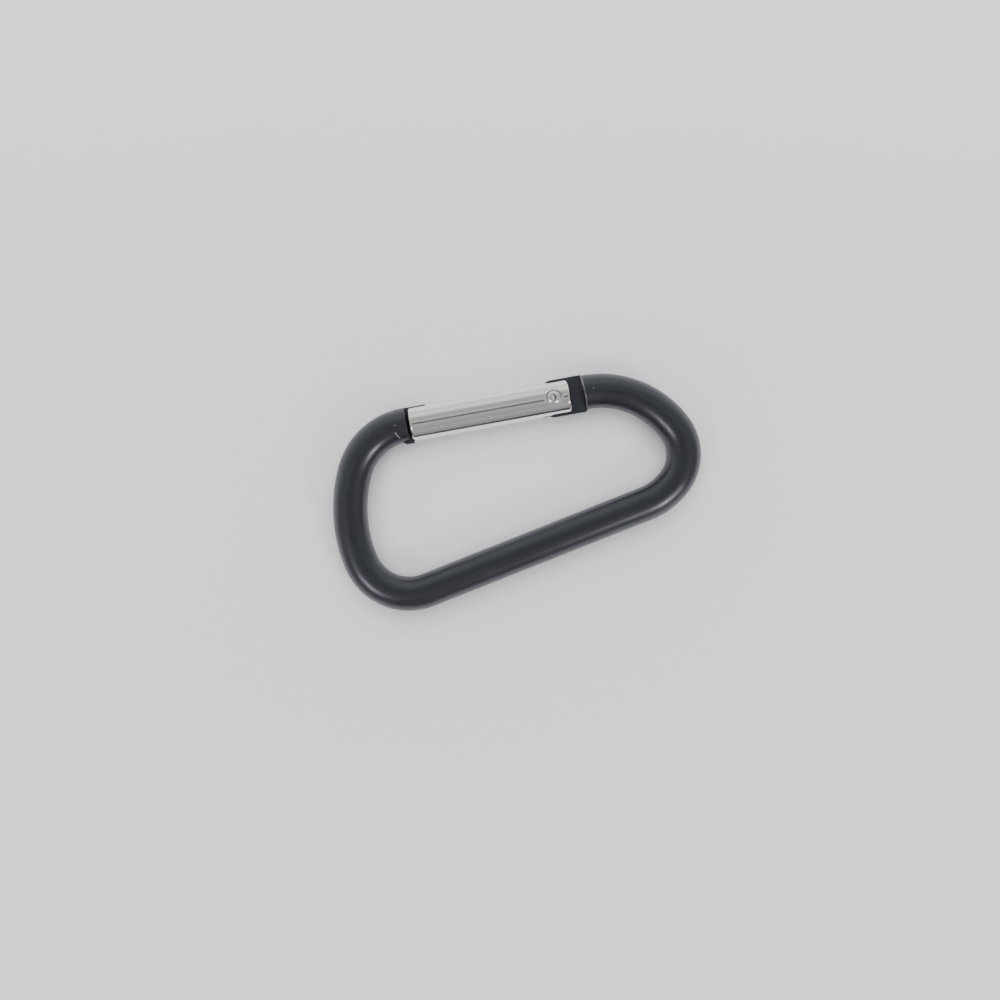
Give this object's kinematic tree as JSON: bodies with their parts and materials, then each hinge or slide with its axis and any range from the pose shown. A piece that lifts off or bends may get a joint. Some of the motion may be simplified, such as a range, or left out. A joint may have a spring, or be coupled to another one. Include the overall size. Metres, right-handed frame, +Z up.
{
  "type": "snap carabiner",
  "caption": "D-shaped carabiner bent from round rod, with a straight sprung gate that hinges inward on a rivet and closes over a tongue at the nose.",
  "frame": {"origin": "centre of the bounding box, at its underside: the plane that the carabiner lies on", "axes": "+X along the closed gate towards its hinge, which is the long way of the loop; +Y in the plane of the loop towards the gate; +Z up, through the thickness of the rod"},
  "size_m": [0.0802, 0.0432, 0.0074],
  "materials": {
    "anodised_body": "glossy black anodised",
    "bright_gate": "bright turned",
    "rivet_steel": "bright peened",
    "plunger_steel": "turned",
    "spring_wire": "drawn wire"
  },
  "bodies": {
    "loop": {"body": "anodised_body"},
    "gate": {"gate": "bright_gate", "hinge_rivet": "rivet_steel", "gate_spring": "spring_wire"},
    "plunger": {"plunger": "plunger_steel"}
  },
  "joints": [
    {"name": "gate_hinge", "type": "hinge", "parent": "loop", "child": "gate", "pos_m": [0.01091, 0.01766, 0.00368], "axis": [0, 0, 1], "range_deg": [0, 30], "stiffness_Nm_per_rad": 0.012, "springref_deg": -57.3},
    {"name": "plunger_slide", "type": "slide", "parent": "gate", "child": "plunger", "axis": [-1, 0, 0], "range_m": [0, 0.001], "deforming": ["gate_spring"]}
  ],
  "couplings": [
    {"joint": "plunger_slide", "follows": "gate_hinge", "m_per_rad": 0.00187}
  ]
}
